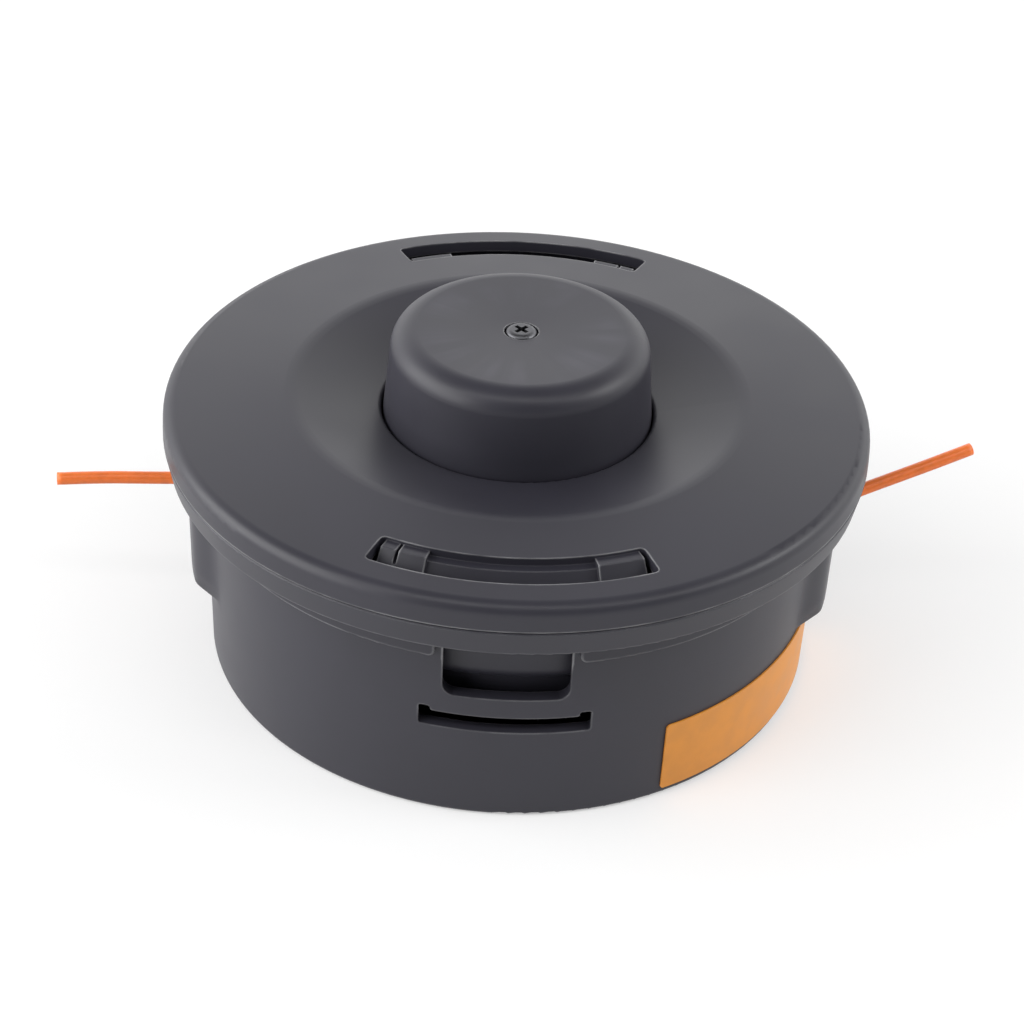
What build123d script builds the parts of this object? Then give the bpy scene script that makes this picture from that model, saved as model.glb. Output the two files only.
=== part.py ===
from build123d import *
import math
import os

# Bump-feed line trimmer head, standing on its mounting side with the bump knob up.
# +Z runs along the drive axis, the base lies on Z = 0, the line outlets are at +X and -X
# and the cover's two latches are at -Y (front) and +Y (back).
# Sizes are in millimetres and angles in degrees.

# Housing
WALL_R = 57.8              # wall radius under the neck
WALL_TAPER = 0.8           # how much narrower the wall is at the base
WALL = 2.4                 # wall thickness
FLOOR = 4.0                # floor thickness
BASE_EDGE = 1.0            # rounding of the base edge
FOOT_W = 15.0              # flat ring that the head stands on
FOOT_STEP = 1.2            # depth of the recess inside that ring
LOBE_OUT = 3.5             # how far the two outlet lobes stand out along X
LOBE_HALF = 14.6           # half width of a lobe's outer face
LOBE_BOW = 2.2             # bulge of that face
LOBE_SLANT = 1.1           # widening of a lobe per millimetre towards the wall
LOBE_ROOT = 8.0            # how far its sides run in from the face
LOBE_BLEND = 5.0           # rounding of the corners between face, sides and wall
LOBE_EDGE = 0.5            # rounding of the lobes' lower edge
LOBE_ROOM_R = 30.0         # radius of the hollow inside a lobe
LOBE_SINK = 0.02           # lobes' round part inside the wall, so that only the lobes stand out
LOBE_Z = 16.5              # underside of the lobes
NECK_Z = 35.2              # top of the plain wall, where the neck starts
NECK_OUT = 1.0             # narrow step under the flange
NECK_H = 6.4
NECK_END = 1.2             # rounding of the neck's ends beside the windows
NECK_EDGE = 0.3            # rounding of its lower edge
FLANGE_OUT = 6.4           # lower edge of the flange, out from the wall
FLANGE_FLARE = 1.0         # widening of the flange up to the parting line
FLANGE_H = 5.15
FLANGE_EDGE = 0.4          # rounding of the flange's lower edge
PARTING_EDGE = 0.35        # chamfer along the parting line
SOCKET_WALL = 2.4          # flange wall outside the cover's skirt

# Latch window and hook slot in the housing wall, front and back
WINDOW_W = 22.0
WINDOW_H = 15.0
WINDOW_CORNER = 2.2
WINDOW_MARGIN = 1.5        # plain wall left between window and neck
HOOK_SLOT_W = 30.0
HOOK_SLOT_H = 3.3
HOOK_SLOT_DROP = 7.4       # lower edge of the slot below the window
HOOK_SLOT_EAR_W = 2.0      # upturned ends of the slot
HOOK_SLOT_EAR_H = 0.95
HOOK_SLOT_ROUND = 0.45

# Cover
RIM_LEAN = 0.2             # narrowing of the cover's side up to its rim
SIDE_H = 4.95              # height of that side
RIM_EDGE = 2.4             # rounding of the rim's top edge
COVER_WALL = 2.4
PARTING_GAP = 0.2          # shadow gap between cover and housing
CREASE_R = 41.7            # ridge between outer cone and inner dish
CREASE_SOFT = 8.0
CONE_SLOPE = 0.085         # fall of the outer cone per millimetre of radius
HOLE_R = 25.15             # opening for the knob
HOLE_EDGE = 0.9            # rounding of that opening's edge
DISH = 3.7                 # fall of the dish from the ridge to that opening
STOP_RING = 2.5            # wall of the ring that stops the spool
STOP_DROP = 7.2            # reach of that ring below the opening
SKIRT_WALL = 1.8
SKIRT_GAP = 0.2
SLOT_IN = 1.65             # inner edge of the arc slots, inside the tongue's outer face
SLOT_OUT = 4.9             # their outer edge, outside it
SLOT_HALF = 25.0           # half angle of the arc slots
SLOT_CORNER = 1.0

# Latch tongue, moulded with the cover
TONGUE_GAP = 1.4           # room between tongue and housing wall
TONGUE_WALL = 2.6
TONGUE_ROOT = 6.0          # angle by which each end runs on under the cover, past the slot
TONGUE_LIFT = 1.4          # lower edge over the window's lower edge
TONGUE_DROP = 1.4          # top of the tongue below the cover's face
RAMP_OUT = 2.0             # reach of the sloped head in front of the tongue
RAMP_SLOPE = 1.4           # fall of that head per millimetre
BLOCK_FROM = 15.4          # start of the end blocks, as an angle from the tongue's middle
BLOCK_GAP = 0.9            # angle left free between them and the slot's ends
BLOCK_RISE = 0.9
BLOCK_PROUD = 0.5
BLOCK_SLIT = 20.9          # place of the slit in one block
BLOCK_SLIT_HALF = 0.3
BLOCK_SLIT_DROP = 1.0      # depth of that slit below the tongue's top
RELIEF_DROP = 5.0          # depth of the gaps beside the blocks, from the tongue's top
RELIEF_ROOT = 0.6          # angle by which they run on past the slot
PAD_SIDE = 1.5             # how far the thumb pad runs on behind the wall beside its window
PAD_PROUD = 0.6
PAD_EDGE = 3.0
HOOK_SIDE = 2.1            # room beside the hook in its slot
HOOK_PROUD = 1.7
HOOK_ARM = 1.2             # thickness of the arm that carries it
HOOK_GAP = 0.5             # play of the hook in its slot, above and below

# Ratchet lugs
LUG_COUNT = 6
LUG_INSET = 1.3            # inner ends, out from the stop ring
LUG_L = 7.0
LUG_ROOT_W = 6.2
LUG_TIP_W = 3.6
LUG_H = 3.5
LUG_STEP = 15.0            # angle between a lug and the lug that it meets
LUG_GAP = 0.5              # room over the tips

# Bump stroke
STROKE = 6.0
STROKE_GAP = 0.3           # play left at both ends of the stroke

# Spool
SPOOL_R = 46.5
SPOOL_FLANGE = 2.0
DRUM_WALL = 5.7            # from the spool's bore to the floor of its chambers
SPOOL_BORE_GAP = 0.3       # radial play on the hub
WEB = 5.2                  # thickness of the centre web over the washer
POST_R = 5.5
POST_H = 15.3              # post that carries the knob
SPIGOT_GAP = 0.5           # play between the knob and the ring that centres it
SPIGOT_WALL = 2.4
SPIGOT_H = 4.0
NOTCH_W = 3.0              # line notches in the middle flange
NOTCH_DEPTH = 7.0

# Line
LINE_D = 2.4
LINE_TURNS = 4             # turns side by side in one chamber
LINE_RIDGE = 0.6           # bulge of each turn on the winding's face
WINDING_T = 20.8           # depth of wound line
WINDING_GAP = 0.2
OUTLET_Z = 31.3

# Outlet eyelets
EYELET_BORE_R = 2.5
EYELET_WALL = 1.1
EYELET_L = 6.65
EYELET_LIP = 1.3           # flange, out from the sleeve
EYELET_FLANGE = 1.2        # thickness of that flange
EYELET_PROUD = 0.25
EYELET_GAP = 0.05
EYELET_MOUTH = 0.85        # share of sleeve wall and flange that is rounded at the mouths
OUTLET_BOSS_WALL = 2.4

# Hub and drive insert
HUB_WALL = 2.2             # outside the insert's corners
HUB_ROOF = 2.6             # over the room for the shaft end
COLLAR = 3.0               # collar round the hub, level with the foot ring
SPRING_SPIGOT_H = 3.0
INSERT_AF = 17.0           # hexagon across flats
INSERT_L = 14.5
INSERT_SET_BACK = 0.8      # insert face inside the base plane
INSERT_GAP = 0.05
THREAD_R = 4.46            # core radius of M10x1
SHAFT_ROOM_R = 5.6         # room for the shaft end past the insert
SHAFT_ROOM = 3.1

# Spring and its washer
SPRING_R = 10.0            # mean coil radius
SPRING_WIRE = 1.4
SPRING_TURNS = 5.0
SPRING_PLAY = 0.7          # between the spring and the spigot inside it
WASHER_SIDE = 0.7          # between the washer and the spool's bore
WASHER_IN_R = 6.5
WASHER_T = 1.0
WASHER_GAP = 0.1

# Bump knob and its screw
KNOB_GAP = 0.35            # play in the cover's opening
KNOB_H = 16.6              # height of the top plane over that opening
KNOB_DRAFT = 1.35          # narrowing from the opening up to the rounded top edge
KNOB_EDGE = 4.5
KNOB_DISH = 0.7            # hollow of the top
KNOB_WALL = 2.4
KNOB_BOSS_R = 6.0
KNOB_RIBS = 6
KNOB_RIB_W = 1.6
SCREW_R = 1.95
SCREW_HEAD_R = 2.9
SCREW_HEAD_H = 1.7
SCREW_HEAD_ROUND = 0.6     # share of the head's height that is rounded
SCREW_L = 16.0
SCREW_SINK = 1.2           # seat of the head below the knob's dished face
SCREW_GAP = 0.15
SCREW_ROOM = 0.25          # gap round the head
RECESS_L = 2.9             # cross recess
RECESS_W = 0.8
RECESS_FLOOR = 0.6         # floor of the recess over the head's seat

# Label
LABEL_T = 0.3
LABEL_H = 14.7
LABEL_UNDER = 0.2          # top edge below the lobes
LABEL_FROM = 30.0          # angle from the front towards +X
LABEL_SPAN = 62.5
LABEL_CORNER = 0.7
LABEL_GAP = 0.02

# Routes of the two line tails, from inside the eyelet to the cut end
TAIL_LEFT = [(-54.0, 0.2, 31.3), (-61.0, -0.9, 31.3), (-69.0, -1.55, 31.35), (-77.5, -1.95, 31.3),
             (-85.7, -3.1, 31.25)]
TAIL_RIGHT = [(54.0, -0.6, 30.9), (60.0, 0.6, 31.4), (66.3, 3.4, 32.9), (73.2, 5.75, 34.7),
              (80.4, 8.4, 36.5), (87.1, 11.1, 38.1)]
TAIL_BEND = 0.45           # share of the shorter run that each bend takes up

FRONT = -90.0              # direction of the front latch, from +X

# Housing levels and radii
BASE_R = WALL_R - WALL_TAPER
FOOT_IN_R = BASE_R - FOOT_W
LOBE_R = WALL_R + LOBE_OUT
NECK_R = WALL_R + NECK_OUT
FLANGE_R = WALL_R + FLANGE_OUT
FLANGE_Z = NECK_Z + NECK_H
PARTING_R = FLANGE_R + FLANGE_FLARE
PARTING_Z = FLANGE_Z + FLANGE_H
CAVITY_LOW_R = BASE_R - WALL
CAVITY_HIGH_R = WALL_R - WALL
SOCKET_R = PARTING_R - SOCKET_WALL
SOCKET_Z = FLANGE_Z + WALL
WINDOW_Z = FLANGE_Z - WINDOW_H
HOOK_SLOT_Z = WINDOW_Z - HOOK_SLOT_DROP
HOOK_SLOT_TOP = HOOK_SLOT_Z + HOOK_SLOT_H
INSERT_TOP = INSERT_SET_BACK + INSERT_L
HUB_R = INSERT_AF / math.sqrt(3) + HUB_WALL
HUB_Z = INSERT_TOP + SHAFT_ROOM + HUB_ROOF
FLOOR_LUG_Z = FLOOR + LUG_H

# Cover levels and radii
RIM_R = PARTING_R - RIM_LEAN
COVER_Z = PARTING_Z + PARTING_GAP
RIM_Z = COVER_Z + SIDE_H
CREASE_Z = RIM_Z + CONE_SLOPE * (RIM_R - CREASE_R)
HOLE_Z = CREASE_Z - DISH
STOP_Z = HOLE_Z - STOP_DROP
SKIRT_R = SOCKET_R - SKIRT_GAP
TONGUE_R = CAVITY_HIGH_R - TONGUE_GAP
TONGUE_IN_R = TONGUE_R - TONGUE_WALL
TONGUE_TOP = CREASE_Z - CONE_SLOPE * (TONGUE_R - CREASE_R) - TONGUE_DROP
TONGUE_Z = WINDOW_Z + TONGUE_LIFT
TONGUE_HALF = SLOT_HALF + TONGUE_ROOT
SLOT_IN_R = TONGUE_R - SLOT_IN
SLOT_OUT_R = TONGUE_R + SLOT_OUT
LUG_IN_R = HOLE_R + STOP_RING + LUG_INSET
LUG_OUT_R = LUG_IN_R + LUG_L

# Spool, spring and knob levels and radii
SPOOL_LOW = FLOOR_LUG_Z + STROKE_GAP + STROKE
SPOOL_HIGH = STOP_Z - STROKE_GAP
SPOOL_BORE_R = HUB_R + SPOOL_BORE_GAP
DRUM_R = SPOOL_BORE_R + DRUM_WALL
CHAMBER = (SPOOL_HIGH - SPOOL_LOW - 3 * SPOOL_FLANGE) / 2
LOWER_CHAMBER = SPOOL_LOW + SPOOL_FLANGE
UPPER_CHAMBER = LOWER_CHAMBER + CHAMBER + SPOOL_FLANGE
WEB_Z = SPOOL_HIGH - WEB
WASHER_Z = WEB_Z - WASHER_GAP - WASHER_T
POST_Z = SPOOL_HIGH + POST_H
KNOB_R = HOLE_R - KNOB_GAP
KNOB_TOP_R = KNOB_R - KNOB_DRAFT
KNOB_Z = HOLE_Z + KNOB_H
SPIGOT_R = KNOB_R - KNOB_WALL - SPIGOT_GAP
SCREW_SEAT = KNOB_Z - KNOB_DISH - SCREW_SINK

# Eyelet and label places
EYELET_R = EYELET_BORE_R + EYELET_WALL
EYELET_FLANGE_R = EYELET_R + EYELET_LIP
EYELET_END = LOBE_R + EYELET_PROUD
EYELET_SEAT = EYELET_END - EYELET_FLANGE
EYELET_IN = EYELET_END - EYELET_L
LABEL_HIGH = LOBE_Z - LABEL_UNDER
LABEL_LOW = LABEL_HIGH - LABEL_H

REACH = 2 * PARTING_R      # longer than anything that is cut through


def wall_r(z):
    """Outer radius of the tapered housing wall at a height."""
    return BASE_R + (WALL_R - BASE_R) * z / NECK_Z


def cone_z(r):
    """Height of the cover's outer cone at a radius."""
    return CREASE_Z - CONE_SLOPE * (r - CREASE_R)


def dish_z(r):
    """Height of the cover's inner dish at a radius."""
    return HOLE_Z + (CREASE_Z - HOLE_Z) * (r - HOLE_R) / (CREASE_R - HOLE_R)


def half_angle(half_width, r):
    """Angle that a half width takes up at a radius."""
    return math.degrees(math.asin(half_width / r))


def section(*corners):
    """Face in the XZ plane from (radius, height) corners."""
    return Plane.XZ * make_face(Polyline(*corners, close=True))


def turned(*corners):
    """Solid of revolution about Z."""
    return revolve(section(*corners), Axis.Z)


def rounded(face, r, z, radius):
    """The face with its corner nearest to (r, z) rounded."""
    corner = face.vertices().sort_by_distance((r, 0, z))[0]
    return fillet(corner, radius)


def swung(face, middle, half):
    """A section swung about Z, half the angle to each side of a direction in degrees from +X."""
    return Rot(0, 0, middle - half) * revolve(face, Axis.Z, 2 * half)


def sector(r_in, r_out, low, high, middle, half):
    """Piece of a plain ring."""
    return swung(section((r_in, low), (r_out, low), (r_out, high), (r_in, high)), middle, half)


def tube(r_out, r_in, low, high):
    """Plain ring about Z."""
    return turned((r_in, low), (r_out, low), (r_out, high), (r_in, high))


def drum(r, low, high):
    """Plain cylinder about Z."""
    return Pos(0, 0, low) * Cylinder(r, high - low, align=(Align.CENTER, Align.CENTER, Align.MIN))


def both_sides(piece):
    """The piece at the front latch and its copy at the back."""
    return piece + Rot(0, 0, 180) * piece


def through_front(face):
    """Cutter through the front wall, outside the spool, from a face drawn in X and Z."""
    return Pos(0, -SPOOL_R, 0) * extrude(Plane.XZ * face, REACH - SPOOL_R)


def lugs(root_z, tip_z, first, drive):
    """Ring of ratchet lugs: drive is the turning sense (+1 or -1) that their upright flanks face."""
    half = LUG_ROOT_W / 2
    corners = [(-half, root_z), (half, root_z), (half, tip_z), (half - LUG_TIP_W, tip_z)]
    outline = Polyline(*[(drive * along, z) for along, z in corners], close=True)
    flank = Plane(origin=(LUG_IN_R, 0, 0), x_dir=(0, 1, 0), z_dir=(1, 0, 0)) * make_face(outline)
    lug = extrude(flank, LUG_OUT_R - LUG_IN_R)
    return [Rot(0, 0, first + i * 360 / LUG_COUNT) * lug for i in range(LUG_COUNT)]


def lobe_outline(r):
    """Outline of the wall with the two outlet lobes: bowed faces with slanted sides."""
    outline = Circle(r)
    root_half = LOBE_HALF + LOBE_SLANT * LOBE_ROOT
    for side in (1, -1):
        tip = side * (r + LOBE_OUT)
        edge = tip - side * LOBE_BOW
        root = edge - side * LOBE_ROOT
        face = ThreePointArc((edge, -LOBE_HALF), (tip, 0), (edge, LOBE_HALF))
        sides = Polyline((edge, LOBE_HALF), (root, root_half), (root, -root_half), (edge, -LOBE_HALF))
        outline += make_face(Curve() + [face, sides])
    return fillet(outline.vertices(), LOBE_BLEND)


def along_x(solid, side, z):
    """A solid made about Z, laid along +X (side 1) or -X (side -1) at a height."""
    return Pos(0, 0, z) * Rot(0, side * 90, 0) * solid


def housing():
    """Moulded cup with flange, neck, outlet lobes, latch windows and drive hub."""
    outer = section((0, 0), (BASE_R, 0), (WALL_R, NECK_Z), (WALL_R, FLANGE_Z), (FLANGE_R, FLANGE_Z),
                    (PARTING_R, PARTING_Z - PARTING_EDGE), (PARTING_R - PARTING_EDGE, PARTING_Z),
                    (0, PARTING_Z))
    outer = rounded(outer, FLANGE_R, FLANGE_Z, FLANGE_EDGE)
    body = revolve(rounded(outer, BASE_R, 0, BASE_EDGE), Axis.Z)

    lobes = loft([Pos(0, 0, LOBE_Z) * lobe_outline(wall_r(LOBE_Z) - LOBE_SINK),
                  Pos(0, 0, FLANGE_Z) * lobe_outline(WALL_R - LOBE_SINK)], ruled=True)
    body += fillet(lobes.edges().group_by(Axis.Z)[0], LOBE_EDGE)

    neck_half = 90 - half_angle(WINDOW_W / 2 + WINDOW_MARGIN, NECK_R)
    for middle in (0, 180):
        neck = sector(CAVITY_HIGH_R, NECK_R, NECK_Z, FLANGE_Z, middle, neck_half)
        ends = neck.edges().filter_by(GeomType.LINE).group_by(Axis.Z)[0]
        neck = fillet(ends, NECK_END)
        lower_edges = neck.edges().filter_by(GeomType.CIRCLE).group_by(Axis.Z)[0]
        body += fillet(lower_edges.sort_by(SortBy.RADIUS)[-1], NECK_EDGE)

    body -= turned((0, FLOOR), (CAVITY_LOW_R, FLOOR), (CAVITY_HIGH_R, SOCKET_Z), (SOCKET_R, SOCKET_Z),
                   (SOCKET_R, PARTING_Z), (0, PARTING_Z))
    eyelet_hole_r = EYELET_R + EYELET_GAP
    room_middle = LOBE_R - WALL - LOBE_ROOM_R
    for side in (1, -1):
        body -= Pos(side * room_middle, 0, 0) * drum(LOBE_ROOM_R, LOBE_Z + WALL, NECK_Z)
        body += along_x(drum(eyelet_hole_r + OUTLET_BOSS_WALL, EYELET_IN, LOBE_R - WALL / 2), side, OUTLET_Z)
        body -= along_x(drum(eyelet_hole_r, SPOOL_R, REACH), side, OUTLET_Z)
        body -= along_x(drum(EYELET_FLANGE_R + EYELET_GAP, EYELET_SEAT, REACH), side, OUTLET_Z)

    window = Pos(0, (WINDOW_Z + FLANGE_Z) / 2) * Rectangle(WINDOW_W, FLANGE_Z - WINDOW_Z)
    window = fillet(window.vertices().group_by(Axis.Y)[0], WINDOW_CORNER)
    body -= both_sides(through_front(window))
    ear_x = (HOOK_SLOT_W - HOOK_SLOT_EAR_W) / 2
    hook_slot = Pos(0, HOOK_SLOT_Z + HOOK_SLOT_H / 2) * Rectangle(HOOK_SLOT_W, HOOK_SLOT_H)
    for side in (1, -1):
        ear = Rectangle(HOOK_SLOT_EAR_W, HOOK_SLOT_EAR_H, align=(Align.CENTER, Align.MIN))
        hook_slot += Pos(side * ear_x, HOOK_SLOT_TOP) * ear
    body -= both_sides(through_front(fillet(hook_slot.vertices(), HOOK_SLOT_ROUND)))

    body += drum(HUB_R, FLOOR - FOOT_STEP, HUB_Z)
    spigot_r = SPRING_R - SPRING_WIRE / 2 - SPRING_PLAY
    body += drum(spigot_r, HUB_Z, HUB_Z + SPRING_SPIGOT_H)
    for lug in lugs(FLOOR - FOOT_STEP, FLOOR_LUG_Z, -LUG_STEP, -1):
        body += lug
    body -= tube(FOOT_IN_R, HUB_R + COLLAR, 0, FOOT_STEP)
    pocket = RegularPolygon(INSERT_AF / 2 + INSERT_GAP, 6, major_radius=False)
    body -= extrude(pocket, INSERT_TOP)
    body -= drum(SHAFT_ROOM_R, INSERT_TOP, INSERT_TOP + SHAFT_ROOM)
    return body


def hub_insert():
    """Hexagonal steel insert with the drive thread's core bore."""
    blank = extrude(RegularPolygon(INSERT_AF / 2, 6, major_radius=False), INSERT_L)
    return Pos(0, 0, INSERT_SET_BACK) * (blank - drum(THREAD_R, 0, INSERT_L))


def latch_head(rise, proud, middle, half):
    """Stretch of the tongue's wall with its sloped head, raised and standing out by the given amounts."""
    edge_r = TONGUE_R + proud
    top = TONGUE_TOP + rise
    ramp_z = top - RAMP_SLOPE * RAMP_OUT
    low = TONGUE_Z + PAD_EDGE
    face = section((TONGUE_IN_R, low), (TONGUE_R, low), (TONGUE_R, ramp_z - RAMP_OUT),
                   (edge_r + RAMP_OUT, ramp_z), (edge_r, top), (TONGUE_IN_R, top))
    return swung(face, middle, half)


def tongue():
    """Front latch tongue: bowed wall with a sloped head, end blocks, thumb pad and ramped hook."""
    body = latch_head(0, 0, FRONT, TONGUE_HALF)
    block_to = SLOT_HALF - BLOCK_GAP
    block_half = (block_to - BLOCK_FROM) / 2
    relief_half = (BLOCK_GAP + RELIEF_ROOT) / 2
    for side in (1, -1):
        body += latch_head(BLOCK_RISE, BLOCK_PROUD, FRONT + side * (BLOCK_FROM + block_half), block_half)
        body -= sector(TONGUE_IN_R, SLOT_OUT_R, TONGUE_TOP - RELIEF_DROP, CREASE_Z,
                       FRONT + side * (block_to + relief_half), relief_half)
    body -= sector(TONGUE_IN_R, SLOT_OUT_R, TONGUE_TOP - BLOCK_SLIT_DROP, CREASE_Z, FRONT - BLOCK_SLIT,
                   BLOCK_SLIT_HALF)
    pad_r = TONGUE_R + PAD_PROUD
    pad = sector(TONGUE_IN_R, pad_r, TONGUE_Z, FLANGE_Z, FRONT, half_angle(WINDOW_W / 2 + PAD_SIDE, pad_r))
    lower_edges = pad.edges().filter_by(GeomType.CIRCLE).group_by(Axis.Z)[0]
    body += fillet(lower_edges.sort_by(SortBy.RADIUS)[-1], PAD_EDGE)
    hook_low = HOOK_SLOT_Z + HOOK_GAP
    hook_high = HOOK_SLOT_TOP - HOOK_GAP
    hook_r = TONGUE_R + HOOK_PROUD
    hook_half = half_angle(HOOK_SLOT_W / 2 - HOOK_SIDE, hook_r)
    arm_r = TONGUE_IN_R + HOOK_ARM
    arm_top = TONGUE_Z + PAD_EDGE
    arm = section((TONGUE_IN_R, hook_low), (arm_r, hook_low), (hook_r, hook_high), (arm_r, hook_high),
                  (arm_r, arm_top), (TONGUE_IN_R, arm_top))
    body += swung(arm, FRONT, hook_half)
    return body


def cover():
    """Latched cover with dished centre, arc slots, latch tongues and ratchet lugs."""
    skirt_in_r = SKIRT_R - SKIRT_WALL
    skirt_top = cone_z(skirt_in_r) - COVER_WALL
    ring_r = HOLE_R + STOP_RING
    profile = section((HOLE_R, HOLE_Z), (CREASE_R, CREASE_Z), (RIM_R, RIM_Z), (PARTING_R, COVER_Z),
                      (SKIRT_R, COVER_Z), (SKIRT_R, SOCKET_Z + PARTING_GAP),
                      (skirt_in_r, SOCKET_Z + PARTING_GAP), (skirt_in_r, skirt_top),
                      (CREASE_R, CREASE_Z - COVER_WALL), (ring_r, dish_z(ring_r) - COVER_WALL),
                      (ring_r, STOP_Z), (HOLE_R, STOP_Z))
    profile = rounded(profile, RIM_R, RIM_Z, RIM_EDGE)
    profile = rounded(profile, CREASE_R, CREASE_Z, CREASE_SOFT)
    profile = rounded(profile, HOLE_R, HOLE_Z, HOLE_EDGE)
    body = revolve(profile, Axis.Z)

    ring = Circle(SLOT_OUT_R) - Circle(SLOT_IN_R)
    wedge_x = REACH * math.tan(math.radians(SLOT_HALF))
    wedge = make_face(Polyline((0, 0), (-wedge_x, -REACH), (wedge_x, -REACH), close=True))
    arc_slot = fillet((ring & wedge).vertices(), SLOT_CORNER)
    slot = extrude(Pos(0, 0, skirt_top) * arc_slot, CREASE_Z - skirt_top)
    body -= both_sides(slot)
    body += both_sides(tongue())
    lug_root = (dish_z(LUG_IN_R) + dish_z(LUG_OUT_R) - COVER_WALL) / 2
    for lug in lugs(lug_root, SPOOL_HIGH + LUG_GAP, LUG_STEP, -1):
        body += lug
    return body


def spool():
    """Two-chamber spool with ratchet lugs on both faces and the knob's post."""
    middle_flange = UPPER_CHAMBER - SPOOL_FLANGE
    top_flange = SPOOL_HIGH - SPOOL_FLANGE
    body = turned((SPOOL_BORE_R, SPOOL_LOW), (SPOOL_R, SPOOL_LOW), (SPOOL_R, LOWER_CHAMBER),
                  (DRUM_R, LOWER_CHAMBER), (DRUM_R, middle_flange), (SPOOL_R, middle_flange),
                  (SPOOL_R, UPPER_CHAMBER), (DRUM_R, UPPER_CHAMBER), (DRUM_R, top_flange),
                  (SPOOL_R, top_flange), (SPOOL_R, SPOOL_HIGH), (0, SPOOL_HIGH), (0, WEB_Z),
                  (SPOOL_BORE_R, WEB_Z))
    body += tube(SPIGOT_R, SPIGOT_R - SPIGOT_WALL, SPOOL_HIGH, SPOOL_HIGH + SPIGOT_H)
    body += drum(POST_R, SPOOL_HIGH, POST_Z)
    body -= drum(SCREW_R + SCREW_GAP, SCREW_SEAT - SCREW_L - SCREW_GAP, POST_Z)
    for lug in lugs(top_flange, SPOOL_HIGH + LUG_H, 0, 1) + lugs(LOWER_CHAMBER, SPOOL_LOW - LUG_H, 0, 1):
        body += lug
    for side in (1, -1):
        notch = Box(NOTCH_DEPTH, NOTCH_W, SPOOL_FLANGE, align=(Align.MAX, Align.CENTER, Align.MIN))
        body -= Rot(0, 0, 90 - 90 * side) * Pos(SPOOL_R, 0, middle_flange) * notch
    return body


def winding(low):
    """Wound line filling one chamber, ridged where the outer turns lie side by side."""
    inner_r = DRUM_R + WINDING_GAP
    outer_r = inner_r + WINDING_T
    floor = low + WINDING_GAP
    turn = (CHAMBER - 2 * WINDING_GAP) / LINE_TURNS
    ridges = []
    for i in range(LINE_TURNS):
        z = floor + i * turn
        ridges.append(ThreePointArc((outer_r, z), (outer_r + LINE_RIDGE, z + turn / 2), (outer_r, z + turn)))
    top = floor + LINE_TURNS * turn
    back = Polyline((outer_r, top), (inner_r, top), (inner_r, floor), (outer_r, floor))
    return revolve(Plane.XZ * make_face(Curve() + ridges + back), Axis.Z)


def eyelet(side):
    """Flanged metal sleeve with rounded mouths."""
    profile = section((EYELET_BORE_R, EYELET_IN), (EYELET_R, EYELET_IN), (EYELET_R, EYELET_SEAT),
                      (EYELET_FLANGE_R, EYELET_SEAT), (EYELET_FLANGE_R, EYELET_END),
                      (EYELET_BORE_R, EYELET_END))
    profile = rounded(profile, EYELET_BORE_R, EYELET_IN, EYELET_MOUTH * EYELET_WALL)
    profile = rounded(profile, EYELET_BORE_R, EYELET_END, EYELET_MOUTH * EYELET_FLANGE)
    return along_x(revolve(profile, Axis.Z), side, OUTLET_Z)


def spring():
    """Helical compression spring between hub and washer."""
    low = HUB_Z + SPRING_WIRE / 2
    height = WASHER_Z - SPRING_WIRE / 2 - low
    path = Pos(0, 0, low) * Helix(height / SPRING_TURNS, height, SPRING_R)
    wire = Plane(origin=path @ 0, z_dir=path % 0) * Circle(SPRING_WIRE / 2)
    return sweep(wire, path, is_frenet=True)


def bump_knob():
    """Hollow knob with a rounded, slightly dished top, centre boss and ribs."""
    face_z = KNOB_Z - KNOB_DISH
    inner_r = KNOB_R - KNOB_WALL
    inner_top_r = KNOB_TOP_R - KNOB_WALL
    profile = section((inner_r, SPOOL_HIGH), (KNOB_R, SPOOL_HIGH), (KNOB_R, HOLE_Z), (KNOB_TOP_R, KNOB_Z),
                      (0, face_z), (0, face_z - KNOB_WALL), (inner_top_r, KNOB_Z - KNOB_WALL),
                      (inner_r, HOLE_Z))
    profile = rounded(profile, KNOB_TOP_R, KNOB_Z, KNOB_EDGE)
    profile = rounded(profile, inner_top_r, KNOB_Z - KNOB_WALL, KNOB_EDGE - KNOB_WALL / 2)
    body = revolve(profile, Axis.Z)
    body += drum(KNOB_BOSS_R, POST_Z, face_z - KNOB_WALL / 2)
    rib_l = inner_top_r - KNOB_BOSS_R / 2
    rib_h = face_z - KNOB_WALL / 2 - POST_Z
    rib = Box(rib_l, KNOB_RIB_W, rib_h, align=(Align.MIN, Align.CENTER, Align.MIN))
    for i in range(KNOB_RIBS):
        body += Rot(0, 0, i * 360 / KNOB_RIBS) * Pos(KNOB_BOSS_R / 2, 0, POST_Z) * rib
    body -= drum(SCREW_HEAD_R + SCREW_ROOM, SCREW_SEAT, KNOB_Z)
    body -= drum(SCREW_R + SCREW_GAP, POST_Z, SCREW_SEAT)
    return body


def knob_screw():
    """Pan-head screw with a cross recess."""
    tip = SCREW_SEAT - SCREW_L
    head_top = SCREW_SEAT + SCREW_HEAD_H
    profile = section((0, tip), (SCREW_R, tip + SCREW_R), (SCREW_R, SCREW_SEAT), (SCREW_HEAD_R, SCREW_SEAT),
                      (SCREW_HEAD_R, head_top), (0, head_top))
    body = revolve(rounded(profile, SCREW_HEAD_R, head_top, SCREW_HEAD_ROUND * SCREW_HEAD_H), Axis.Z)
    arm = Box(RECESS_L, RECESS_W, SCREW_HEAD_H, align=(Align.CENTER, Align.CENTER, Align.MIN))
    for turn in (45, 135):
        body -= Pos(0, 0, SCREW_SEAT + RECESS_FLOOR) * Rot(0, 0, turn) * arm
    return body


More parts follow.
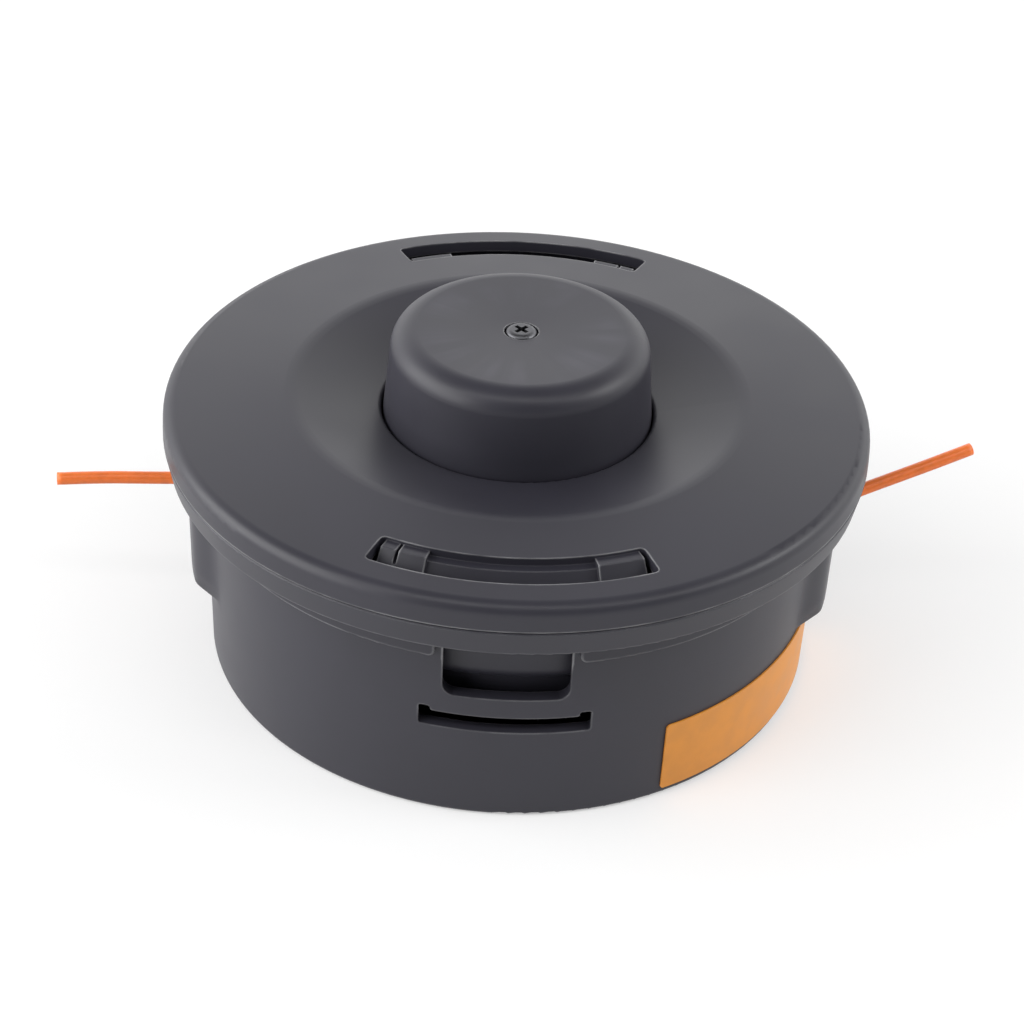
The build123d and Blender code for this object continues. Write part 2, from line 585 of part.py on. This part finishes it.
def label():
    """Thin sticker on the tapered wall, with rounded corners."""
    low_r = wall_r(LABEL_LOW) + LABEL_GAP
    high_r = wall_r(LABEL_HIGH) + LABEL_GAP
    face = section((low_r, LABEL_LOW), (low_r + LABEL_T, LABEL_LOW),
                   (high_r + LABEL_T, LABEL_HIGH), (high_r, LABEL_HIGH))
    sheet = Rot(0, 0, FRONT + LABEL_FROM) * revolve(face, Axis.Z, LABEL_SPAN)
    corners = [edge for edge in sheet.edges() if abs(edge.length - LABEL_T) < LABEL_T / 2]
    return fillet(corners, LABEL_CORNER)


def tail(route):
    """Free end of the line, on straight runs joined by wide bends."""
    points = [Vector(*point) for point in route]
    radii = []
    for before, here, after in zip(points, points[1:], points[2:]):
        turn = math.radians((here - before).get_angle(after - here))
        run = min((here - before).length, (after - here).length)
        radii.append(TAIL_BEND * run / math.tan(turn / 2))
    path = FilletPolyline(*points, radius=radii)
    print("tail length", round(path.length, 2), "bend radii", [round(r, 1) for r in radii])
    disc = Plane(origin=path @ 0, z_dir=path % 0) * Circle(LINE_D / 2)
    return sweep(disc, path)


pieces = {
    "housing": housing(),
    "hub_insert": hub_insert(),
    "eyelet_right": eyelet(1),
    "eyelet_left": eyelet(-1),
    "cover": cover(),
    "label": label(),
    "spring": spring(),
    "thrust_washer": tube(SPOOL_BORE_R - WASHER_SIDE, WASHER_IN_R, WASHER_Z, WASHER_Z + WASHER_T),
    "spool": spool(),
    "line_winding_lower": winding(LOWER_CHAMBER),
    "line_winding_upper": winding(UPPER_CHAMBER),
    "bump_knob": bump_knob(),
    "knob_screw": knob_screw(),
    "line_tail_left": tail(TAIL_LEFT),
    "line_tail_right": tail(TAIL_RIGHT),
}
os.makedirs("parts", exist_ok=True)
for name, solid in pieces.items():
    export_step(solid, f"parts/{name}.step")
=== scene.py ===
import math

import bmesh
import bpy
from mathutils import Matrix, Vector


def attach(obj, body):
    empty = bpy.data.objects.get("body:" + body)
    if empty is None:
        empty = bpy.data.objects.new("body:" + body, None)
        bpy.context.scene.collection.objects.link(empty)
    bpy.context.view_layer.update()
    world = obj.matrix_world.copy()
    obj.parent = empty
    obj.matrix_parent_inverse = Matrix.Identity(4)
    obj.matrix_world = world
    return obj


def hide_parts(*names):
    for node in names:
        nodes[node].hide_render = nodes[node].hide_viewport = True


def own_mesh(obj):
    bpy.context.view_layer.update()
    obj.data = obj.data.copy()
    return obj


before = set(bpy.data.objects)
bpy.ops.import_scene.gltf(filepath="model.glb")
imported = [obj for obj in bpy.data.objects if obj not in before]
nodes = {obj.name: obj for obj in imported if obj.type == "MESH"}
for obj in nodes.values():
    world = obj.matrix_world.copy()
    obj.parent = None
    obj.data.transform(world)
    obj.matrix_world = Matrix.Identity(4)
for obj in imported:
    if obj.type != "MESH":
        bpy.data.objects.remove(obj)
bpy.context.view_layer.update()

# Looks of the bump-feed trimmer head. Lengths are in metres, in the part's own frame:
# +Z up through the knob, line outlets at +X and -X, front latch at -Y.

MM = 0.001

# Camera
CAMERA_AT = Vector((-3.55, -407.02, 306.73)) * MM
CAMERA_TILT = 55.43        # degrees up from looking straight down
CAMERA_TURN = -0.494       # degrees about Z
CAMERA_ROLL = 2.906        # degrees about the line of sight
LENS = 91.406
SENSOR = 36.0

# Line tails: routes from inside the eyelet to the cut end
LINE_D = 2.4 * MM
TAIL_ROUTES = {
    "line_tail_left": [(-54.0, 0.2, 31.3), (-61.0, -0.9, 31.3), (-69.0, -1.55, 31.35), (-77.5, -1.95, 31.3),
                       (-85.7, -3.1, 31.25)],
    "line_tail_right": [(54.0, -0.6, 30.9), (60.0, 0.6, 31.4), (66.3, 3.4, 32.9), (73.2, 5.75, 34.7),
                        (80.4, 8.4, 36.5), (87.1, 11.1, 38.1)],
}
TAIL_STEPS = 12            # along each stretch of a route
TAIL_SIDES = 24
CUT_EDGE = 0.3 * MM        # rounding of the cut end
CUT_EDGE_STEPS = 3
SAME_POINT = 0.001 * MM

# Colours, linear
CHARCOAL = (0.031, 0.0300, 0.0405)
BLACK_NYLON = (0.018, 0.018, 0.020)
LINE_ORANGE = (0.98, 0.215, 0.040)
LABEL_ORANGE = (0.79, 0.305, 0.04)
STEEL = (0.42, 0.42, 0.43)
DARK_STEEL = (0.13, 0.13, 0.14)
ALUMINIUM = (0.66, 0.66, 0.68)
WHITE = (1.0, 1.0, 1.0)

# Patches in every material: values of their noise over which colour and roughness change
TONE_SPAN = (0.3, 0.7)
ROUGH_SPAN = (0.2, 0.8)

# Moulded nylon
BODY_ROUGH = 0.42
SPOOL_ROUGH = 0.5
PLASTIC_GLOSS = 0.42       # specular level
CLOUD_SIZE = 22 * MM
CLOUD_TONES = (0.94, 1.06)
CLOUD_ROUGH = 0.03
CLOUD_ROUGH_SPAN = (0.25, 0.75)
GRAIN_SIZE = 0.28 * MM
GRAIN_DETAIL = 3.0
GRAIN = 0.08
GRAIN_DEPTH = 0.03 * MM

# Its edges: rounding that the light sees on them, wide where the lobes run into the wall
EDGE_SAMPLES = 8
EDGE_R = 0.4 * MM
LOBE_SOFT_R = 5.0 * MM
LOBE_OUT = (48 * MM, 53 * MM)                         # distance from the X = 0 plane
LOBE_HEIGHTS = (8 * MM, 13 * MM, 36 * MM, 40 * MM)

# and a painted highlight on them: a paler strip along them, found by how open the inside is near the surface
EDGE_WIDTH = 0.5 * MM
EDGE_HIGHLIGHT_COLOUR = (0.24, 0.24, 0.25)
EDGE_OPEN = (0.56, 0.84)
RING_HEIGHTS = (33.5 * MM, 34.5 * MM, 42.5 * MM, 43.5 * MM)
RING_HIGHLIGHT = 0.14           # painted highlight added at the neck's and the flange's edges, which are rounded off
HIGHLIGHT_PATCH_SIZE = 6 * MM          # patches where the painted edge highlight is stronger or weaker
HIGHLIGHT_PATCH_SPAN = (0.3, 0.65)
HIGHLIGHT_PATCH_LEAST = 0.25
WALL_HIGHLIGHT = 0.5             # the painted edge highlight is weaker on the wall under the neck
WALL_HIGHLIGHT_HEIGHTS = (32 * MM, 34 * MM)

# Flow marks on the knob's top
MARK_TONE = 1.5
MARK_REACH = (8 * MM, 15 * MM, 16 * MM, 21 * MM)
FAN_SIZE = 0.3             # on the unit circle
FAN_DETAIL = 3.0
FAN_SPAN = (0.42, 0.7)
MARK_PATCH_SIZE = 11 * MM
MARK_PATCH_SPAN = (0.3, 0.58)

# Nylon line
STREAK_SIZE = 1.6 * MM
STREAK_DETAIL = 3.0
STREAK_TONES = (0.93, 1.05)
LINE_ROUGH = (0.34, 0.46)
LINE_CLEAR = 0.15
LINE_CLEAR_DEPTHS = (1.0 * MM, 0.35 * MM, 0.15 * MM)
STREAK = 0.08
STREAK_DEPTH = 0.05 * MM

# Label film
PRINT_SIZE = 5 * MM
PRINT_DETAIL = 4.0
PRINT_TONES = (0.95, 1.04)
FILM_ROUGH = (0.38, 0.48)
RIPPLE_SIZE = 9 * MM
RIPPLE = 0.06
RIPPLE_DEPTH = 0.2 * MM

# Metals
TURNING_SIZE = 0.4 * MM
TURNING_DETAIL = 4.0
TURNING_TONES = (0.85, 1.1)
TURNING_ROUGH = (-0.06, 0.08)
TURNING = 0.1
TURNING_DEPTH = 0.02 * MM
INSERT_ROUGH = 0.38
SPRING_ROUGH = 0.32
WASHER_ROUGH = 0.34
EYELET_ROUGH = 0.3
SCREW_ROUGH = 0.42

# Floor
FLOOR_SIZE = 20.0
FLOOR_GAP = 0.05 * MM      # floor below the base, so that the two planes don't fight
FLOOR_WHITE = (0.64, 0.64, 0.64)
FLOOR_GLOW = 0.38          # added where the floor is seen as the background

# Room: its light over the direction's Y and Z, which run from -1 to 1
ROOM_BACK = 1.56           # light from behind
ROOM_BACK_Y = (-0.7, 0.4)
ROOM_BACK_Z = (0.5, 0.84)
ROOM_BACK_TOP = 0.1        # share of it that is left high up
ROOM_LOW = 0.16            # light from all round, low down
ROOM_LOW_Z = (0.3, 0.9)

# Lamps: place, width, height and watts
LAMP_AIM = (0, 0, 0.03)
SOFTBOXES = {
    "left_softbox": ((-0.925, -0.230, 0.330), 1.30, 0.75, 10.8),
    "right_softbox": ((0.860, -0.05, 0.520), 0.43, 0.35, 2.6),
    "front_softbox": ((-0.026, -0.480, 0.930), 2.2, 0.18, 5.7),
}


def add(tree, kind, sockets=None, **settings):
    """New shader node: settings by name, and sockets set to a value or linked to another socket."""
    made = tree.nodes.new(kind)
    for name, value in settings.items():
        setattr(made, name, value)
    for name, value in (sockets or {}).items():
        if isinstance(value, bpy.types.NodeSocket):
            tree.links.new(value, made.inputs[name])
        else:
            made.inputs[name].default_value = value
    return made


def math_node(tree, operation, first, second=0.0):
    """Result of a sum, product or other plain operation on values or sockets."""
    return add(tree, "ShaderNodeMath", {0: first, 1: second}, operation=operation).outputs[0]


def vector_node(tree, operation, output, *vectors):
    """Named output of an operation on vectors."""
    return add(tree, "ShaderNodeVectorMath", dict(enumerate(vectors)), operation=operation).outputs[output]


def ramp(tree, value, low, high, to_low=0.0, to_high=1.0):
    """A value brought smoothly from one range to another."""
    sockets = {"Value": value, "From Min": low, "From Max": high, "To Min": to_low, "To Max": to_high}
    return add(tree, "ShaderNodeMapRange", sockets, interpolation_type="SMOOTHSTEP").outputs["Result"]


def band(tree, value, rise, full, fade, end):
    """1 where the value is from full to fade, falling to 0 at rise and at end."""
    return math_node(tree, "MULTIPLY", ramp(tree, value, rise, full), ramp(tree, value, end, fade))


def noise(tree, place, size, detail=2.0):
    """Cloudy noise whose patches are about the given size."""
    return add(tree, "ShaderNodeTexNoise", {"Vector": place, "Scale": 1 / size, "Detail": detail}).outputs["Fac"]


def axes(tree, vector):
    """A vector's three parts, by the names X, Y and Z."""
    return add(tree, "ShaderNodeSeparateXYZ", {0: vector}).outputs


def opaque(colour):
    """The colour with full alpha."""
    return (*colour, 1.0)


def scaled(colour, factor):
    """The colour made lighter or darker."""
    return tuple(part * factor for part in colour)


def mixed(tree, share, first, second):
    """Two colours mixed by a share."""
    made = add(tree, "ShaderNodeMix", {0: share}, data_type="RGBA")
    for index, colour in ((6, first), (7, second)):
        if isinstance(colour, bpy.types.NodeSocket):
            tree.links.new(colour, made.inputs[index])
        else:
            made.inputs[index].default_value = opaque(colour)
    return made.outputs[2]


def varied(tree, pattern, colour, tones):
    """The colour from its darker to its lighter tone, after a pattern."""
    darker, lighter = tones
    return mixed(tree, ramp(tree, pattern, *TONE_SPAN), scaled(colour, darker), scaled(colour, lighter))


def new_material(name):
    """Empty node material with its tree, its shader and the part's own coordinates."""
    made = bpy.data.materials.new(name)
    made.use_nodes = True
    tree = made.node_tree
    place = add(tree, "ShaderNodeTexCoord").outputs["Object"]
    return made, tree, tree.nodes["Principled BSDF"], place


def finish(tree, shader, colour, roughness, height, strength, depth, **normal):
    """Gives a shader its colour, its roughness and a fine relief."""
    sockets = {"Height": height, "Strength": strength, "Distance": depth, **normal}
    relief = add(tree, "ShaderNodeBump", sockets).outputs["Normal"]
    for name, value in (("Base Color", colour), ("Roughness", roughness), ("Normal", relief)):
        tree.links.new(value, shader.inputs[name])


def soft_normal(tree, at):
    """Normal with rounded edges: a small radius, but a wide one where the lobes run into the wall."""
    outer = ramp(tree, math_node(tree, "ABSOLUTE", at["X"]), *LOBE_OUT)
    lobe = math_node(tree, "MULTIPLY", outer, band(tree, at["Z"], *LOBE_HEIGHTS))
    radius = ramp(tree, lobe, 0.0, 1.0, EDGE_R, LOBE_SOFT_R)
    return add(tree, "ShaderNodeBevel", {"Radius": radius}, samples=EDGE_SAMPLES).outputs["Normal"]


def painted_edge_highlight(tree, place, at):
    """How strong the painted highlight on the edges is, from 0 to 1, in patches."""
    inside = add(tree, "ShaderNodeAmbientOcclusion", {"Distance": EDGE_WIDTH}, samples=EDGE_SAMPLES, inside=True,
                 only_local=True).outputs["AO"]
    # painted highlight: extra paleness in rings at the neck's and the flange's edge heights
    highlight_rings = math_node(tree, "MULTIPLY", band(tree, at["Z"], *RING_HEIGHTS), RING_HIGHLIGHT)
    edge = ramp(tree, math_node(tree, "SUBTRACT", inside, highlight_rings), *EDGE_OPEN, 1.0, 0.0)
    # painted highlight made stronger or weaker in noise patches, and weaker on the wall under the neck
    highlight_patches = math_node(tree, "MULTIPLY", ramp(tree, noise(tree, place, HIGHLIGHT_PATCH_SIZE), *HIGHLIGHT_PATCH_SPAN, HIGHLIGHT_PATCH_LEAST, 1.0),
                    ramp(tree, at["Z"], *WALL_HIGHLIGHT_HEIGHTS, WALL_HIGHLIGHT, 1.0))
    return math_node(tree, "MULTIPLY", edge, highlight_patches)


def flow_marks(tree, place):
    """Faint fans that the melt left on the knob's top, from 0 to 1."""
    flat = vector_node(tree, "MULTIPLY", "Vector", place, (1.0, 1.0, 0.0))
    reach = vector_node(tree, "LENGTH", "Value", flat)
    way = vector_node(tree, "NORMALIZE", "Vector", flat)
    fan = ramp(tree, noise(tree, way, FAN_SIZE, FAN_DETAIL), *FAN_SPAN)
    patch = ramp(tree, noise(tree, place, MARK_PATCH_SIZE), *MARK_PATCH_SPAN)
    return math_node(tree, "MULTIPLY", math_node(tree, "MULTIPLY", fan, patch), band(tree, reach, *MARK_REACH))


def moulded_plastic(name, colour, roughness, marks=False):
    """Satin moulded nylon: faint clouding, fine grain, softly rounded edges and a painted highlight along them."""
    made, tree, shader, place = new_material(name)
    at = axes(tree, place)
    cloud = noise(tree, place, CLOUD_SIZE)
    body = varied(tree, cloud, colour, CLOUD_TONES)
    if marks:
        body = mixed(tree, flow_marks(tree, place), body, scaled(colour, MARK_TONE))
    rough = ramp(tree, cloud, *CLOUD_ROUGH_SPAN, roughness - CLOUD_ROUGH, roughness + CLOUD_ROUGH)
    # the edges are mixed towards a pale colour: a painted highlight
    finish(tree, shader, mixed(tree, painted_edge_highlight(tree, place, at), body, EDGE_HIGHLIGHT_COLOUR), rough,
           noise(tree, place, GRAIN_SIZE, GRAIN_DETAIL), GRAIN, GRAIN_DEPTH, Normal=soft_normal(tree, at))
    shader.inputs["Specular IOR Level"].default_value = PLASTIC_GLOSS
    return made


def nylon_line(name):
    """Extruded nylon line: a little translucent, with faint streaks."""
    made, tree, shader, place = new_material(name)
    streak = noise(tree, place, STREAK_SIZE, STREAK_DETAIL)
    finish(tree, shader, varied(tree, streak, LINE_ORANGE, STREAK_TONES), ramp(tree, streak, *ROUGH_SPAN, *LINE_ROUGH),
           streak, STREAK, STREAK_DEPTH)
    shader.inputs["Subsurface Weight"].default_value = LINE_CLEAR
    shader.inputs["Subsurface Radius"].default_value = LINE_CLEAR_DEPTHS
    return made


def printed_film(name):
    """Plain orange label film with a slightly uneven print."""
    made, tree, shader, place = new_material(name)
    ink = noise(tree, place, PRINT_SIZE, PRINT_DETAIL)
    finish(tree, shader, varied(tree, ink, LABEL_ORANGE, PRINT_TONES), ramp(tree, ink, *ROUGH_SPAN, *FILM_ROUGH),
           noise(tree, place, RIPPLE_SIZE), RIPPLE, RIPPLE_DEPTH)
    return made


def metal(name, colour, roughness):
    """Bare metal with fine turning marks."""
    made, tree, shader, place = new_material(name)
    turning = noise(tree, place, TURNING_SIZE, TURNING_DETAIL)
    smoother, rougher = TURNING_ROUGH
    rough = ramp(tree, turning, *ROUGH_SPAN, roughness + smoother, roughness + rougher)
    finish(tree, shader, varied(tree, turning, colour, TURNING_TONES), rough, turning, TURNING, TURNING_DEPTH)
    shader.inputs["Metallic"].default_value = 1.0
    return made


def in_scene(name, data):
    """New object in the scene."""
    made = bpy.data.objects.new(name, data)
    bpy.context.scene.collection.objects.link(made)
    return made


def dress(mesh, material):
    """Gives a mesh its one material."""
    mesh.materials.clear()
    mesh.materials.append(material)


def tail(node, material):
    """Free line end: a tube along the smooth route, with the cut edge rounded."""
    route = TAIL_ROUTES[node]
    curve = bpy.data.curves.new(node + "_route", "CURVE")
    curve.dimensions = "3D"
    curve.resolution_u = TAIL_STEPS
    spline = curve.splines.new("NURBS")
    spline.points.add(len(route) - 1)
    for point, at in zip(spline.points, route):
        point.co = (*(Vector(at) * MM), 1.0)
    spline.order_u = 3
    spline.use_endpoint_u = True
    carrier = in_scene(node + "_route", curve)
    path = [vertex.co.copy() for vertex in bpy.data.meshes.new_from_object(carrier).vertices]
    curve.bevel_depth = LINE_D / 2
    curve.bevel_resolution = TAIL_SIDES // 4
    curve.use_fill_caps = True
    mesh = bpy.data.meshes.new_from_object(carrier.evaluated_get(bpy.context.evaluated_depsgraph_get()))
    bpy.data.objects.remove(carrier)
    shape = bmesh.new()
    shape.from_mesh(mesh)
    bmesh.ops.remove_doubles(shape, verts=shape.verts, dist=SAME_POINT)
    caps = [face for face in shape.faces if len(face.verts) > 4]
    rims = {edge for face in caps for edge in face.edges}
    bmesh.ops.bevel(shape, geom=list(rims), offset=CUT_EDGE, segments=CUT_EDGE_STEPS, affect="EDGES", profile=0.5)
    shape.to_mesh(mesh)
    shape.free()
    mesh.shade_smooth()
    dress(mesh, material)
    piece = in_scene(node + "_line", mesh)
    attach(piece, "housing")
    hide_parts(node)


def coil(material):
    """Spring: a copy of the spring part's mesh, riding on the housing in its place."""
    piece = in_scene("spring_coil", nodes["spring"].data.copy())
    dress(piece.data, material)
    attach(piece, "housing")
    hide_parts("spring")
    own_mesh(piece)


def place_camera():
    """Camera at the photograph's view."""
    data = bpy.data.cameras.new("camera")
    data.lens = LENS
    data.sensor_width = SENSOR
    camera = in_scene("camera", data)
    turn = Matrix.Rotation(math.radians(CAMERA_TURN), 4, "Z")
    tilt = Matrix.Rotation(math.radians(CAMERA_TILT), 4, "X")
    roll = Matrix.Rotation(math.radians(CAMERA_ROLL), 4, "Z")
    camera.matrix_world = Matrix.Translation(CAMERA_AT) @ turn @ tilt @ roll
    bpy.context.scene.camera = camera


def softbox(name, at, width, height, power):
    """Rectangular lamp at a place, facing the head."""
    data = bpy.data.lights.new(name, "AREA")
    data.shape = "RECTANGLE"
    data.size = width
    data.size_y = height
    data.energy = power
    lamp = in_scene(name, data)
    lamp.location = at
    lamp.rotation_euler = (Vector(LAMP_AIM) - Vector(at)).to_track_quat("-Z", "Y").to_euler()


def seen_rays(tree):
    """1 for rays that show the background: from the camera, from gloss and through clear things."""
    rays = add(tree, "ShaderNodeLightPath").outputs
    seen = math_node(tree, "MAXIMUM", rays["Is Camera Ray"], rays["Is Glossy Ray"])
    return math_node(tree, "MAXIMUM", seen, rays["Is Transmission Ray"])


def room():
    """World that is lighter behind the head and low down."""
    world = bpy.data.worlds.new("studio")
    bpy.context.scene.world = world
    world.use_nodes = True
    tree = world.node_tree
    way = axes(tree, add(tree, "ShaderNodeTexCoord").outputs["Generated"])
    behind = math_node(tree, "MULTIPLY", ramp(tree, way["Y"], *ROOM_BACK_Y, 0.0, ROOM_BACK),
                       ramp(tree, way["Z"], *ROOM_BACK_Z, 1.0, ROOM_BACK_TOP))
    low_down = ramp(tree, way["Z"], *ROOM_LOW_Z, ROOM_LOW, 0.0)
    background = tree.nodes["Background"].inputs
    tree.links.new(math_node(tree, "ADD", behind, low_down), background["Strength"])
    background["Color"].default_value = opaque(WHITE)


def white_floor():
    """Pale floor that looks white away from the head's shadow."""
    bpy.ops.mesh.primitive_plane_add(size=FLOOR_SIZE, location=(0, 0, -FLOOR_GAP))
    floor = bpy.context.object
    floor.name = "floor"
    made = bpy.data.materials.new("floor")
    made.use_nodes = True
    tree = made.node_tree
    sockets = tree.nodes["Principled BSDF"].inputs
    sockets["Base Color"].default_value = opaque(FLOOR_WHITE)
    sockets["Roughness"].default_value = 1.0
    sockets["Specular IOR Level"].default_value = 0.0
    sockets["Emission Color"].default_value = opaque(WHITE)
    tree.links.new(math_node(tree, "MULTIPLY", seen_rays(tree), FLOOR_GLOW), sockets["Emission Strength"])
    dress(floor.data, made)


place_camera()
bpy.context.scene.view_settings.view_transform = "Standard"
room()
white_floor()
for name, lamp in SOFTBOXES.items():
    softbox(name, *lamp)

body_plastic = moulded_plastic("body_plastic", CHARCOAL, BODY_ROUGH)
line = nylon_line("nylon_line")
spring_steel = metal("spring_steel", STEEL, SPRING_ROUGH)
eyelet_metal = metal("eyelet_metal", ALUMINIUM, EYELET_ROUGH)
finishes = {
    "housing": body_plastic,
    "cover": body_plastic,
    "bump_knob": moulded_plastic("knob_plastic", CHARCOAL, BODY_ROUGH, marks=True),
    "spool": moulded_plastic("spool_plastic", BLACK_NYLON, SPOOL_ROUGH),
    "line_winding_lower": line,
    "line_winding_upper": line,
    "label": printed_film("label_film"),
    "hub_insert": metal("insert_steel", STEEL, INSERT_ROUGH),
    "spring": spring_steel,
    "thrust_washer": metal("washer_steel", STEEL, WASHER_ROUGH),
    "eyelet_left": eyelet_metal,
    "eyelet_right": eyelet_metal,
    "knob_screw": metal("screw_steel", DARK_STEEL, SCREW_ROUGH),
}
for node, material in finishes.items():
    dress(nodes[node].data, material)
coil(spring_steel)
for node in TAIL_ROUTES:
    tail(node, line)
